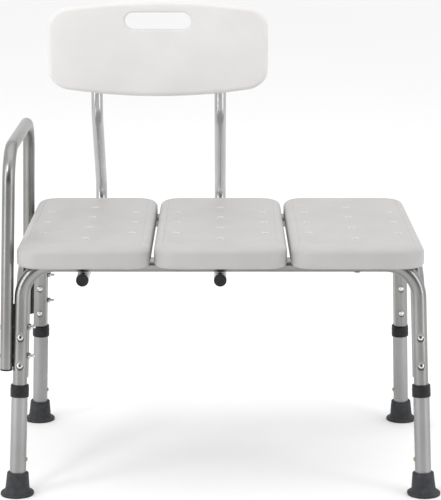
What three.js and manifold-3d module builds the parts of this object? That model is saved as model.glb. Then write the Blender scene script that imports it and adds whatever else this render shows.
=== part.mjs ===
// Bath transfer bench: an aluminium tube frame on four telescoping legs, three seat panels,
// a backrest on two bent tubes and an arm rail on the left side.
// Millimetres, +Z up, the floor at Z = 0, the front of the bench toward -Y.
// Left (-X) and right (+X) are as seen from the front.
import * as THREE from "three";
import { mergeVertices } from "three/addons/utils/BufferGeometryUtils.js";
import Module from "manifold-3d";

const wasm = await Module();
wasm.setup();

// ---------- driving dimensions ----------
const FRAME_R = 12.7; // 1 in frame tube
const LEG_R = 14.3; // 1 1/8 in leg extension
const BACK_R = 11.1; // 7/8 in tube of the backrest and the arm rail
const WALL = 1.2;
const GAP = 0.3; // running and assembly clearance

const FOOT_X = 360; // leg axis on the floor
const FOOT_Y = 231.9;
const SPLAY_X = 0.0353; // sideways lean of a leg per millimetre of height
const SPLAY_Y = 0.0702; // fore and aft lean
const RAIL_Z = 409.5;
const FRAME_BEND = 60;
const FRAME_END_Z = 50; // where the frame's legs end inside the extensions

const FOOT_HEIGHT = 40;
const FOOT_FLANGE_R = 29.4;
const FOOT_FLANGE_T = 5;
const FOOT_FLOOR = 8; // rubber under the leg extension
const LEG_TOP_Z = 192.7;
const COLLAR_R = 16.4;
const COLLAR_LOW_Z = 175.7;
const COLLAR_TOP_Z = 197.5;
const BUTTON_Z = 63.2;
const HOLE_PITCH = 25.4;
const HOLE_COUNT = 5;
const BUTTON_R = 3.7;

const FRAME_BOLTS_Z = [282.5, 232.3];
const SIDE_STEP = 2 * FRAME_R + 0.6; // from a leg's axis to the side tube's axis
const SIDE_TOP_Z = 396;
const SIDE_END_Z = 206;
const SIDE_BEND = 55;
const RAIL_Y = FOOT_Y - SPLAY_Y * RAIL_Z;
const BOLT_R = 3;
const HEAD_R = 5; // frame bolts and backrest screws
const HEAD_H = 2.2;
const ARM_HEAD_R = 5.5;
const ARM_HEAD_H = 2.4;
const RAIL_HEAD_R = 6; // bolts under the rails
const RAIL_HEAD_H = 3.2;
const NUT_R = 5.8;
const NUT_H = 5;
const THREAD_PAST_NUT = 6.6;
const HEAD_GAP = 0.4; // head or nut clear of the tube it bears on

const PANEL_WIDTH = 232.5;
const PANEL_GAP = 6;
const PANEL_FRONT_Y = -248;
const PANEL_REAR_Y = 260;
const PANEL_LOW_Z = 409.6;
const PANEL_TOP_Z = 445.5;
const PANEL_CORNER = 42;
const PANEL_ROLL = 14; // width of the rounded edge
const PANEL_ROLL_H = 12;
const PANEL_SKIRT = 16; // width of the rim under the panel
const PANEL_SKIN = 5;
const DRAIN_R = 5;
const DRAIN_COLUMN = 80; // between columns of drain holes
const DRAIN_SIDE_ROWS = [-98, 0, 98];
const DRAIN_MIDDLE_ROWS = [-148, -49, 49, 148];
const SEAT_BOLT_X = 238.5;
const SEAT_BOLT_GRIP = 10; // bolt length inside a panel

const BACK_X = [-240.5, -0.5];
const BACK_LOW_Z = RAIL_Z - FRAME_R - BACK_R - 0.6;
const BACK_FRONT_Y = -220;
const BACK_REAR_Y = 384;
const BACK_KNEE_Z = 452;
const BACK_POST_Y = 271;
const BACK_POST_Z = 606;
const BACK_TOP_Z = 782;
const BACK_BEND = 50;

const REST_WIDTH = 425;
const REST_LOW_Z = 646;
const REST_TOP_Z = 830;
const REST_BOW = 17; // how far the top and bottom edges bow out at the middle
const REST_CORNER = 30;
const REST_FRONT_Y = 237;
const REST_THICK = 27;
const REST_EDGE = 8;
const SLOT_WIDTH = 127;
const SLOT_HEIGHT = 33;
const SLOT_Z = 791.6;
const REST_SCREWS_Z = [680, 750];
const REST_SCREW_GRIP = 11;
const PLUG_STEM = 10;

const ARM_X = 375.2; // arm rail axis at ARM_DATUM_Z
const ARM_DATUM_Z = 276;
const ARM_LEAN = 0.026;
const ARM_TOP_Z = 608.5;
const ARM_END_Z = 225;
const ARM_BEND = 62;
const ARM_BOLTS_Z = [299.5, 248];
const PAD_LOW_Z = 229;
const PAD_TOP_Z = 340;
const PAD_WIDTH = 8;
const PAD_REACH = 9; // the block's size along X before the tubes are cut out of it

const TUBE_SIDES = 12;
const ROUND_SIDES = 16; // collars and feet
const BOLT_SIDES = 8;
const BEND_STEPS = 5;

// ---------- materials ----------
const material = (color, roughness, metalness) =>
  new THREE.MeshStandardMaterial({ color, roughness, metalness });
const aluminium = () => material(0xb4b5b6, 0.38, 0.9);
const whitePlastic = () => material(0xdedddd, 0.5, 0);
const blackPlastic = () => material(0x2c2d2e, 0.55, 0);
const greyRubber = () => material(0x47484a, 0.8, 0);
const steel = () => material(0x9c9c9a, 0.3, 1);
const brass = () => material(0xb8923f, 0.35, 1);

// ---------- geometry helpers ----------
function solid(geometry) {
  const bare = geometry.clone();
  bare.deleteAttribute("normal");
  bare.deleteAttribute("uv");
  const merged = mergeVertices(bare, 1e-4);
  return new wasm.Manifold(
    new wasm.Mesh({
      numProp: 3,
      vertProperties: merged.attributes.position.array,
      triVerts: new Uint32Array(merged.index.array),
    }),
  );
}

function geometryOf(manifold) {
  const mesh = manifold.getMesh();
  const geometry = new THREE.BufferGeometry();
  geometry.setAttribute("position", new THREE.BufferAttribute(mesh.vertProperties, 3));
  geometry.setIndex(new THREE.BufferAttribute(mesh.triVerts, 1));
  geometry.computeVertexNormals();
  return geometry;
}

const cut = (body, tools) => tools.reduce((left, tool) => left.subtract(tool), body);

// A path of straight runs and round bends, with stations only where the tube changes.
class BentPath extends THREE.Curve {
  constructor(corners, radii) {
    super();
    this.stations = [];
    const last = corners.length - 1;
    const first = corners[1].clone().sub(corners[0]).normalize();
    this.stations.push({ at: corners[0], along: first });
    for (let i = 1; i < last; i++) {
      this.addBend(corners[i - 1], corners[i], corners[i + 1], radii[i - 1]);
    }
    const final = corners[last].clone().sub(corners[last - 1]).normalize();
    this.stations.push({ at: corners[last], along: final });
  }

  addBend(before, corner, after, radius) {
    const into = corner.clone().sub(before).normalize();
    const out = after.clone().sub(corner).normalize();
    const angle = into.angleTo(out);
    const axis = into.clone().cross(out).normalize();
    const start = corner.clone().addScaledVector(into, -radius * Math.tan(angle / 2));
    const centre = start.clone().addScaledVector(axis.clone().cross(into), radius);
    const steps = Math.max(2, Math.round((BEND_STEPS * angle) / (Math.PI / 2)));
    for (let k = 0; k <= steps; k++) {
      const turn = (angle * k) / steps;
      const at = start.clone().sub(centre).applyAxisAngle(axis, turn).add(centre);
      this.stations.push({ at, along: into.clone().applyAxisAngle(axis, turn) });
    }
  }

  get steps() {
    return this.stations.length - 1;
  }

  getSpacedPoints() {
    return this.stations.map((station) => station.at.clone());
  }

  getTangentAt(u, target = new THREE.Vector3()) {
    return target.copy(this.stations[Math.round(u * this.steps)].along);
  }
}

function circlePoints(radius, sides) {
  const points = [];
  for (let i = 0; i < sides; i++) {
    const angle = (2 * Math.PI * i) / sides;
    points.push(new THREE.Vector2(radius * Math.cos(angle), radius * Math.sin(angle)));
  }
  return points;
}

function ring(outer, inner, sides) {
  const shape = new THREE.Shape(circlePoints(outer, sides));
  shape.holes.push(new THREE.Path(circlePoints(inner, sides)));
  return shape;
}

function bentTube(corners, radii, radius) {
  const path = new BentPath(corners, radii);
  const section = ring(radius, radius - WALL, TUBE_SIDES);
  return new THREE.ExtrudeGeometry(section, { steps: path.steps, extrudePath: path });
}

const straightTube = (outer, inner, length, sides) =>
  new THREE.ExtrudeGeometry(ring(outer, inner, sides), { depth: length, bevelEnabled: false });

// A turned piece: profile points are [radius, height], axis along +Z.
function turned(profile, sides) {
  const points = profile.map(([radius, height]) => new THREE.Vector2(radius, height));
  points.push(points[0].clone());
  return new THREE.LatheGeometry(points, sides).rotateX(Math.PI / 2);
}

// A rod from one point to another, as a cutting tool.
function rodBetween(from, to, radius, sides = BOLT_SIDES) {
  const along = to.clone().sub(from);
  const geometry = new THREE.CylinderGeometry(radius, radius, along.length(), sides);
  const up = new THREE.Vector3(0, 1, 0);
  const turn = new THREE.Quaternion().setFromUnitVectors(up, along.clone().normalize());
  const middle = from.clone().add(to).multiplyScalar(0.5);
  geometry.applyMatrix4(new THREE.Matrix4().compose(middle, turn, new THREE.Vector3(1, 1, 1)));
  return solid(geometry);
}

// Turns geometry made along +Z so that it starts at a point and runs along a direction.
function aimed(geometry, start, direction) {
  const up = new THREE.Vector3(0, 0, 1);
  const turn = new THREE.Quaternion().setFromUnitVectors(up, direction.clone().normalize());
  return geometry.applyMatrix4(
    new THREE.Matrix4().compose(start, turn, new THREE.Vector3(1, 1, 1)),
  );
}

const bench = new THREE.Group();

function add(name, geometry, finish) {
  const mesh = new THREE.Mesh(geometry, finish);
  mesh.name = name;
  bench.add(mesh);
  return mesh;
}

// ---------- legs ----------
const v3 = (x, y, z) => new THREE.Vector3(x, y, z);

const LEGS = [
  { name: "front_left", sx: -1, sy: -1 },
  { name: "front_right", sx: 1, sy: -1 },
  { name: "rear_left", sx: -1, sy: 1 },
  { name: "rear_right", sx: 1, sy: 1 },
];

// The point of a leg's axis at a height.
function legPoint(leg, z) {
  return v3(leg.sx * (FOOT_X - SPLAY_X * z), leg.sy * (FOOT_Y - SPLAY_Y * z), z);
}

const legAxis = (leg) => v3(-leg.sx * SPLAY_X, -leg.sy * SPLAY_Y, 1).normalize();

// Directions square to the leg: to the bench's middle along X, and along Y.
function inwardX(leg) {
  const axis = legAxis(leg);
  return v3(-leg.sx, 0, 0).projectOnPlane(axis).normalize();
}

function inwardY(leg) {
  const axis = legAxis(leg);
  return v3(0, -leg.sy, 0).projectOnPlane(axis).normalize();
}

function legExtension(leg) {
  const bottom = legPoint(leg, FOOT_FLOOR + GAP);
  const length = bottom.distanceTo(legPoint(leg, LEG_TOP_Z));
  const inner = LEG_R - WALL;
  const tube = aimed(straightTube(LEG_R, inner, length, ROUND_SIDES), bottom, legAxis(leg));
  const holes = [];
  for (let i = 0; i < HOLE_COUNT; i++) {
    const centre = legPoint(leg, BUTTON_Z).addScaledVector(legAxis(leg), i * HOLE_PITCH);
    const mouth = centre.clone().addScaledVector(inwardX(leg), LEG_R + 2);
    holes.push(rodBetween(centre, mouth, BUTTON_R + 0.6));
  }
  return geometryOf(cut(solid(tube), holes));
}

function legCollar(leg) {
  const height = COLLAR_TOP_Z - COLLAR_LOW_Z;
  const seat = LEG_TOP_Z - COLLAR_LOW_Z + GAP;
  const edge = 1.5;
  const profile = [
    [LEG_R + 0.5, 0],
    [COLLAR_R, 0],
    [COLLAR_R, height - edge],
    [COLLAR_R - edge, height],
    [FRAME_R + 0.8, height],
    [FRAME_R + 0.8, seat],
    [LEG_R + 0.5, seat],
  ];
  return aimed(turned(profile, ROUND_SIDES), legPoint(leg, COLLAR_LOW_Z), legAxis(leg));
}

function rubberFoot(leg) {
  const base = legPoint(leg, 0);
  const flange = turned(
    [
      [0, 0],
      [FOOT_FLANGE_R, 0],
      [FOOT_FLANGE_R, FOOT_FLANGE_T - 1],
      [FOOT_FLANGE_R - 1.5, FOOT_FLANGE_T],
      [23, 7.5],
      [0, 11.5],
    ],
    ROUND_SIDES,
  ).translate(base.x, base.y, 0);
  const body = turned(
    [
      [0, 4],
      [21.7, 4],
      [18.8, FOOT_HEIGHT - 1.5],
      [17.6, FOOT_HEIGHT],
      [0, FOOT_HEIGHT],
    ],
    ROUND_SIDES,
  );
  const cone = aimed(body, base, legAxis(leg));
  const above = legPoint(leg, FOOT_HEIGHT + 20);
  const bore = rodBetween(legPoint(leg, FOOT_FLOOR), above, LEG_R + 0.5, ROUND_SIDES);
  return geometryOf(solid(flange).add(solid(cone)).subtract(bore));
}

function springButton(leg) {
  const low = FRAME_R - 4.6;
  const tip = LEG_R + 2.4;
  const profile = [
    [0, low],
    [5.2, low],
    [BUTTON_R, low + 2.4],
    [BUTTON_R, tip - 1.4],
    [2.2, tip],
    [0, tip],
  ];
  const button = turned(profile, BOLT_SIDES);
  return aimed(button, legPoint(leg, BUTTON_Z), inwardX(leg));
}

for (const leg of LEGS) {
  add(`leg_extension_${leg.name}`, legExtension(leg), aluminium());
  add(`leg_collar_${leg.name}`, legCollar(leg), blackPlastic());
  add(`rubber_foot_${leg.name}`, rubberFoot(leg), greyRubber());
  add(`spring_button_${leg.name}`, springButton(leg), brass());
}

// ---------- bolts through the frame ----------
// Each bolt is a line with a head; the tubes are drilled along the same lines.
function frameBolt(leg, z) {
  const outward = inwardY(leg).negate();
  const start = legPoint(leg, z).addScaledVector(outward, FRAME_R + HEAD_GAP);
  const reach = 2 * FRAME_R + SIDE_STEP + 1;
  return { start, along: outward.clone().negate(), reach };
}

function armPoint(sy, z) {
  const x = -(ARM_X - ARM_LEAN * (z - ARM_DATUM_Z));
  return v3(x, sy * (FOOT_Y - SPLAY_Y * z), z);
}

function armBolt(leg, z) {
  const outer = armPoint(leg.sy, z);
  const inner = legPoint(leg, z);
  const along = inner.clone().sub(outer).normalize();
  const start = outer.clone().addScaledVector(along, -BACK_R - HEAD_GAP);
  const toNut = start.distanceTo(inner) + FRAME_R + HEAD_GAP;
  return { start, along, toNut, reach: toNut + NUT_H + THREAD_PAST_NUT };
}

// A bolt up through a rail into a seat panel, from the underside of the tube it holds.
function railBolt(x, sy, underZ) {
  const start = v3(x, sy * RAIL_Y, underZ - HEAD_GAP);
  const reach = RAIL_Z + FRAME_R + SEAT_BOLT_GRIP - start.z;
  return { start, along: v3(0, 0, 1), reach };
}

function restScrew(x, z) {
  const start = v3(x, BACK_POST_Y + BACK_R + HEAD_GAP, z);
  return { start, along: v3(0, -1, 0), reach: 2 * BACK_R + REST_SCREW_GRIP };
}

const drill = (bolt) =>
  rodBetween(
    bolt.start.clone().addScaledVector(bolt.along, -6),
    bolt.start.clone().addScaledVector(bolt.along, bolt.reach + 1),
    BOLT_R + GAP,
  );

// A bolt with a low round head, and at its far end a sleeve nut when it has one.
function boltGeometry(bolt, headR, headH, sleeve) {
  const end = bolt.reach;
  const profile = [
    [0, -headH],
    [headR * 0.7, -headH],
    [headR, 0],
    [BOLT_R, 0],
    [BOLT_R, end],
  ];
  if (sleeve) profile.push([headR, end], [headR, end + 1.5], [0, end + 1.5]);
  else profile.push([0, end]);
  return aimed(turned(profile, BOLT_SIDES), bolt.start, bolt.along);
}

const frameBolts = [];
const armBolts = [];
for (const leg of LEGS) {
  FRAME_BOLTS_Z.forEach((z, i) => {
    const bolt = frameBolt(leg, z);
    frameBolts.push({ leg, bolt });
    const name = `frame_bolt_${leg.name}_${i ? "lower" : "upper"}`;
    add(name, boltGeometry(bolt, HEAD_R, HEAD_H, true), steel());
  });
  if (leg.sx > 0) continue;
  ARM_BOLTS_Z.forEach((z, i) => {
    const bolt = armBolt(leg, z);
    armBolts.push({ leg, bolt });
    const name = `${leg.sy < 0 ? "front" : "rear"}_${i ? "lower" : "upper"}`;
    add(`arm_bolt_${name}`, boltGeometry(bolt, ARM_HEAD_R, ARM_HEAD_H, false), steel());
    const nut = straightTube(NUT_R, BOLT_R + 0.8, NUT_H, 6);
    const seat = bolt.start.clone().addScaledVector(bolt.along, bolt.toNut);
    add(`arm_nut_${name}`, aimed(nut, seat, bolt.along), steel());
  });
}

const railBolts = [];
function addRailBolts(prefix, x, underZ) {
  for (const sy of [-1, 1]) {
    const bolt = railBolt(x, sy, underZ);
    railBolts.push(bolt);
    const name = `${prefix}_${sy < 0 ? "front" : "rear"}`;
    add(name, boltGeometry(bolt, RAIL_HEAD_R, RAIL_HEAD_H, false), steel());
  }
}
addRailBolts("back_bolt_left", BACK_X[0], BACK_LOW_Z - BACK_R);
addRailBolts("back_bolt_right", BACK_X[1], BACK_LOW_Z - BACK_R);
addRailBolts("seat_bolt", SEAT_BOLT_X, RAIL_Z - FRAME_R);

// ---------- frame ----------
for (const sy of [-1, 1]) {
  const sides = LEGS.filter((leg) => leg.sy === sy);
  const corners = [
    legPoint(sides[0], FRAME_END_Z),
    legPoint(sides[0], RAIL_Z),
    legPoint(sides[1], RAIL_Z),
    legPoint(sides[1], FRAME_END_Z),
  ];
  const tube = solid(bentTube(corners, [FRAME_BEND, FRAME_BEND], FRAME_R));
  const drills = [
    ...frameBolts.filter(({ leg }) => leg.sy === sy).map(({ bolt }) => drill(bolt)),
    ...armBolts.filter(({ leg }) => leg.sy === sy).map(({ bolt }) => drill(bolt)),
    ...railBolts.filter((bolt) => Math.sign(bolt.start.y) === sy).map(drill),
    ...sides.map((leg) => {
      const centre = legPoint(leg, BUTTON_Z);
      const mouth = centre.clone().addScaledVector(inwardX(leg), FRAME_R + 2);
      return rodBetween(centre, mouth, BUTTON_R + 0.5);
    }),
  ];
  const name = sy < 0 ? "front_frame_tube" : "rear_frame_tube";
  add(name, geometryOf(cut(tube, drills)), aluminium());
}

for (const sx of [-1, 1]) {
  const ends = LEGS.filter((leg) => leg.sx === sx);
  const beside = (leg, z) => legPoint(leg, z).addScaledVector(inwardY(leg), SIDE_STEP);
  const corners = [
    beside(ends[0], SIDE_END_Z),
    beside(ends[0], SIDE_TOP_Z),
    beside(ends[1], SIDE_TOP_Z),
    beside(ends[1], SIDE_END_Z),
  ];
  const tube = solid(bentTube(corners, [SIDE_BEND, SIDE_BEND], FRAME_R));
  const drills = frameBolts.filter(({ leg }) => leg.sx === sx).map(({ bolt }) => drill(bolt));
  const name = sx < 0 ? "left_side_tube" : "right_side_tube";
  add(name, geometryOf(cut(tube, drills)), aluminium());
}

// ---------- seat panels ----------
function roundedRectangle(width, depth, radius) {
  const x = width / 2 - radius;
  const y = depth / 2 - radius;
  const shape = new THREE.Shape();
  shape.absarc(x, y, radius, 0, Math.PI / 2);
  shape.absarc(-x, y, radius, Math.PI / 2, Math.PI);
  shape.absarc(-x, -y, radius, Math.PI, 1.5 * Math.PI);
  shape.absarc(x, -y, radius, 1.5 * Math.PI, 2 * Math.PI);
  return shape;
}

function slab(width, depth, radius, lowZ, topZ) {
  const shape = roundedRectangle(width, depth, radius);
  const options = { depth: topZ - lowZ, bevelEnabled: false, curveSegments: 4 };
  return solid(new THREE.ExtrudeGeometry(shape, options).translate(0, 0, lowZ));
}

function drainHole(x, y) {
  return rodBetween(v3(x, y, PANEL_LOW_Z), v3(x, y, PANEL_TOP_Z + 5), DRAIN_R);
}

// A panel with its middle at X = 0: a slab with a rolled top edge, hollow underneath,
// with channels that sit over the two rails.
function seatPanel(centreX) {
  const depth = PANEL_REAR_Y - PANEL_FRONT_Y;
  const centreY = (PANEL_REAR_Y + PANEL_FRONT_Y) / 2;
  const shoulder = PANEL_TOP_Z - PANEL_ROLL_H;
  const inner = roundedRectangle(
    PANEL_WIDTH - 2 * PANEL_ROLL,
    depth - 2 * PANEL_ROLL,
    PANEL_CORNER - PANEL_ROLL,
  );
  const flat = 0.4; // height of the extrusion's flat stretch between its bevels
  const rolled = new THREE.ExtrudeGeometry(inner, {
    depth: flat,
    bevelThickness: PANEL_ROLL_H,
    bevelSize: PANEL_ROLL,
    bevelSegments: 3,
    curveSegments: 4,
  }).translate(0, centreY, shoulder - flat);
  const lower = slab(PANEL_WIDTH, depth, PANEL_CORNER, PANEL_LOW_Z, shoulder - flat / 2);
  const hollowWidth = PANEL_WIDTH - 2 * PANEL_SKIRT;
  const hollowCorner = PANEL_CORNER - PANEL_SKIRT;
  const recess = slab(
    hollowWidth,
    depth - 2 * PANEL_SKIRT,
    hollowCorner,
    PANEL_LOW_Z - 1,
    RAIL_Z + FRAME_R + GAP,
  ).translate(0, centreY, 0);
  const pocket = slab(
    hollowWidth,
    2 * (RAIL_Y - FRAME_R - 10),
    hollowCorner,
    PANEL_LOW_Z - 1,
    PANEL_TOP_Z - PANEL_SKIN,
  );
  const holes = [];
  for (const column of [-1, 0, 1]) {
    const rows = column ? DRAIN_SIDE_ROWS : DRAIN_MIDDLE_ROWS;
    for (const y of rows) holes.push(drainHole(column * DRAIN_COLUMN, y));
  }
  const straight = 270; // half length of the straight stretch of a rail
  const channels = [-1, 1].map((sy) =>
    rodBetween(
      v3(-straight - centreX, sy * RAIL_Y, RAIL_Z),
      v3(straight - centreX, sy * RAIL_Y, RAIL_Z),
      FRAME_R + 0.6,
      TUBE_SIDES,
    ),
  );
  const whole = lower.translate(0, centreY, 0).add(solid(rolled));
  const panel = cut(whole, [recess, pocket, ...holes, ...channels]).translate(centreX, 0, 0);
  return geometryOf(cut(panel, railBolts.map(drill)));
}

["left", "middle", "right"].forEach((side, i) => {
  const centreX = (i - 1) * (PANEL_WIDTH + PANEL_GAP);
  add(`seat_panel_${side}`, seatPanel(centreX), whitePlastic());
});

// ---------- backrest ----------
const railBoltTools = (x) => railBolts.filter((bolt) => bolt.start.x === x).map(drill);

BACK_X.forEach((x, i) => {
  const side = i ? "right" : "left";
  const corners = [
    v3(x, BACK_FRONT_Y, BACK_LOW_Z),
    v3(x, BACK_REAR_Y, BACK_LOW_Z),
    v3(x, BACK_REAR_Y, BACK_KNEE_Z),
    v3(x, BACK_POST_Y, BACK_POST_Z),
    v3(x, BACK_POST_Y, BACK_TOP_Z),
  ];
  const tube = solid(bentTube(corners, [BACK_BEND, BACK_BEND, BACK_BEND], BACK_R));
  const screws = REST_SCREWS_Z.map((z) => restScrew(x, z));
  const drilled = cut(tube, [...railBoltTools(x), ...screws.map(drill)]);
  add(`back_tube_${side}`, geometryOf(drilled), aluminium());
  const plug = aimed(tubePlug(BACK_R, 2.2), corners[0], v3(0, -1, 0));
  add(`back_tube_front_plug_${side}`, plug, blackPlastic());
  screws.forEach((screw, k) => {
    const name = `rest_screw_${side}_${k ? "upper" : "lower"}`;
    add(name, boltGeometry(screw, HEAD_R, HEAD_H, false), steel());
  });
});

// A plug with its stem inside the tube's end, its flange just off the tube's face.
function tubePlug(radius, flange) {
  const stem = radius - WALL - 0.5;
  const profile = [
    [0, -PLUG_STEM],
    [stem, -PLUG_STEM],
    [stem, GAP],
    [radius, GAP],
    [radius, GAP + flange - 1],
    [radius - 1.2, GAP + flange],
    [0, GAP + flange],
  ];
  return turned(profile, TUBE_SIDES);
}

// The backrest seen from the front, inset by its rounded edge: long edges bowed outward
// at the middle and soft corners.
function restOutline() {
  const half = REST_WIDTH / 2 - REST_EDGE;
  const top = (REST_TOP_Z - REST_LOW_Z) / 2 - REST_EDGE;
  const shoulder = top - REST_BOW;
  const corner = REST_CORNER - REST_EDGE;
  const side = 3; // the ends bow out a little as well
  const shape = new THREE.Shape();
  shape.moveTo(-half + corner, -shoulder);
  shape.quadraticCurveTo(0, -top - REST_BOW, half - corner, -shoulder);
  shape.quadraticCurveTo(half - side, -shoulder + 4, half - side, -shoulder + corner);
  shape.quadraticCurveTo(half + side, 0, half - side, shoulder - corner);
  shape.quadraticCurveTo(half - side, shoulder - 4, half - corner, shoulder);
  shape.quadraticCurveTo(0, top + REST_BOW, -half + corner, shoulder);
  shape.quadraticCurveTo(-half + side, shoulder - 4, -half + side, shoulder - corner);
  shape.quadraticCurveTo(-half - side, 0, -half + side, -shoulder + corner);
  shape.quadraticCurveTo(-half + side, -shoulder + 4, -half + corner, -shoulder);
  return shape;
}

// The handle slot, a long hole with round ends right through the panel.
function slotTool(centreX) {
  const radius = SLOT_HEIGHT / 2;
  const x = SLOT_WIDTH / 2 - radius;
  const shape = new THREE.Shape();
  shape.absarc(x, 0, radius, -Math.PI / 2, Math.PI / 2);
  shape.absarc(-x, 0, radius, Math.PI / 2, 1.5 * Math.PI);
  const options = { depth: REST_THICK + 20, bevelEnabled: false, curveSegments: 6 };
  const slot = new THREE.ExtrudeGeometry(shape, options).rotateX(Math.PI / 2);
  return solid(slot.translate(centreX, REST_FRONT_Y + REST_THICK + 10, SLOT_Z));
}

function backrestPanel() {
  const centreZ = (REST_TOP_Z + REST_LOW_Z) / 2;
  const shape = restOutline();
  const plate = new THREE.ExtrudeGeometry(shape, {
    depth: REST_THICK - 2 * REST_EDGE,
    bevelThickness: REST_EDGE,
    bevelSize: REST_EDGE,
    bevelSegments: 2,
    curveSegments: 6,
  });
  const centreX = (BACK_X[0] + BACK_X[1]) / 2;
  plate.rotateX(Math.PI / 2);
  plate.translate(centreX, REST_FRONT_Y + REST_THICK - REST_EDGE, centreZ);
  const tools = [slotTool(centreX)];
  for (const x of BACK_X) {
    const low = v3(x, BACK_POST_Y, REST_LOW_Z - 20);
    const high = v3(x, BACK_POST_Y, BACK_TOP_Z + 4);
    tools.push(rodBetween(low, high, BACK_R + 0.5, TUBE_SIDES));
    for (const z of REST_SCREWS_Z) tools.push(drill(restScrew(x, z)));
  }
  return geometryOf(cut(solid(plate), tools));
}

add("backrest_panel", backrestPanel(), whitePlastic());

// ---------- arm rail ----------
const armCorners = [
  armPoint(-1, ARM_END_Z),
  armPoint(-1, ARM_TOP_Z),
  armPoint(1, ARM_TOP_Z),
  armPoint(1, ARM_END_Z),
];
const armTube = solid(bentTube(armCorners, [ARM_BEND, ARM_BEND], BACK_R));
const armDrills = armBolts.map(({ bolt }) => drill(bolt));
add("arm_tube", geometryOf(cut(armTube, armDrills)), aluminium());

for (const sy of [-1, 1]) {
  const name = sy < 0 ? "front" : "rear";
  const down = armPoint(sy, ARM_END_Z).sub(armPoint(sy, ARM_TOP_Z)).normalize();
  const plug = aimed(tubePlug(BACK_R, 2.5), armPoint(sy, ARM_END_Z), down);
  add(`arm_plug_${name}`, plug, blackPlastic());

  // The pad fills the narrow space between the arm rail's post and the leg.
  const leg = LEGS.find((one) => one.sx < 0 && one.sy === sy);
  const between = (z) => armPoint(sy, z).add(legPoint(leg, z)).multiplyScalar(0.5);
  const up = between(PAD_TOP_Z).sub(between(PAD_LOW_Z));
  const pad = new THREE.BoxGeometry(PAD_REACH, PAD_WIDTH, up.length());
  const centre = between((PAD_LOW_Z + PAD_TOP_Z) / 2);
  centre.x -= (FRAME_R - BACK_R) / 2;
  const block = solid(aimed(pad, centre, up));
  const post = (at, radius) =>
    rodBetween(at(PAD_LOW_Z - 20), at(PAD_TOP_Z + 20), radius, 2 * TUBE_SIDES);
  const tools = [
    post((z) => armPoint(sy, z), BACK_R + GAP),
    post((z) => legPoint(leg, z), FRAME_R + GAP),
    ...armBolts.filter((one) => one.leg === leg).map(({ bolt }) => drill(bolt)),
  ];
  add(`arm_pad_${name}`, geometryOf(cut(block, tools)), blackPlastic());
}

// ---------- origin: the middle of the bench's footprint, on the floor ----------
const extent = new THREE.Box3().setFromObject(bench);
const middle = extent.getCenter(new THREE.Vector3());
bench.position.set(-middle.x, -middle.y, 0);

export default bench;
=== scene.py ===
"""Bath transfer bench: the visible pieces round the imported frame.

Metres, +Z up, the front of the bench toward -Y. Left and right are as seen from the front.
"""

import math

import bmesh
import bpy
from mathutils import Matrix, Vector


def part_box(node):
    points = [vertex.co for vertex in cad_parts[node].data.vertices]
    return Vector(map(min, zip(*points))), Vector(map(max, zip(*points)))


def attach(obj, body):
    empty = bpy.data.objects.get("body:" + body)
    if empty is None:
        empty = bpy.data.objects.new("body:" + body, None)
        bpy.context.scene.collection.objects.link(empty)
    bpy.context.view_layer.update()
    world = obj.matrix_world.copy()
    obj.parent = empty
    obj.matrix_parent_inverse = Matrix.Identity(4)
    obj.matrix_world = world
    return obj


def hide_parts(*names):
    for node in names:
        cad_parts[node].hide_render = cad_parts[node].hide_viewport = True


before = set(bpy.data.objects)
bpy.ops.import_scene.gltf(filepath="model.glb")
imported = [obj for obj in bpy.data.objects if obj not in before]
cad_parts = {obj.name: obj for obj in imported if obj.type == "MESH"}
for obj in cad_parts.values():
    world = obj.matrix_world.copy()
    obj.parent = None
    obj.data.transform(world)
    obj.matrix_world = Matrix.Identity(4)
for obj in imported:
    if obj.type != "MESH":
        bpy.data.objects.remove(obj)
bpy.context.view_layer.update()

# ---------- places taken from the frame ----------
front_low, front_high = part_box("front_frame_tube")
rear_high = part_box("rear_frame_tube")[1]
MIDDLE = Vector(((front_low.x + front_high.x) / 2, (front_low.y + rear_high.y) / 2, 0))

# ---------- driving dimensions ----------
FRAME_R = 0.0127
LEG_R = 0.0143
BACK_R = 0.0111
WALL = 0.0012

FOOT_X = 0.360
FOOT_Y = 0.2319
SPLAY_X = 0.0353
SPLAY_Y = 0.0702
RAIL_Z = 0.4095
FRAME_BEND = 0.060
FRAME_END_Z = 0.050
SIDE_STEP = 2 * FRAME_R + 0.0006
SIDE_TOP_Z = 0.396
SIDE_END_Z = 0.206
SIDE_BEND = 0.055
RAIL_Y = FOOT_Y - SPLAY_Y * RAIL_Z

FOOT_FLOOR = 0.0083
FOOT_HEIGHT = 0.040
FOOT_FLANGE_R = 0.0294
LEG_TOP_Z = 0.1927
COLLAR_R = 0.0164
COLLAR_LOW_Z = 0.1757
COLLAR_TOP_Z = 0.1975
BUTTON_Z = 0.0632
HOLE_PITCH = 0.0254
HOLE_COUNT = 5
BUTTON_R = 0.0037
BUTTON_BASE_R = 0.0052
FRAME_BOLTS_Z = {"upper": 0.2825, "lower": 0.2323}

PANEL_WIDTH = 0.2325
PANEL_PITCH = 0.2385
PANEL_FRONT_Y = -0.248
PANEL_REAR_Y = 0.260
PANEL_CORNER = 0.042
PANEL_LOW_Z = 0.4096
PANEL_TOP_Z = 0.4455

BACK_X = {"left": -0.2405, "right": -0.0005}
BACK_LOW_Z = RAIL_Z - FRAME_R - BACK_R - 0.0006
BACK_FRONT_Y = -0.220
BACK_REAR_Y = 0.384
BACK_KNEE_Z = 0.452
BACK_POST_Y = 0.271
BACK_POST_Z = 0.606
BACK_TOP_Z = 0.782
BACK_BEND = 0.050

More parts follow.
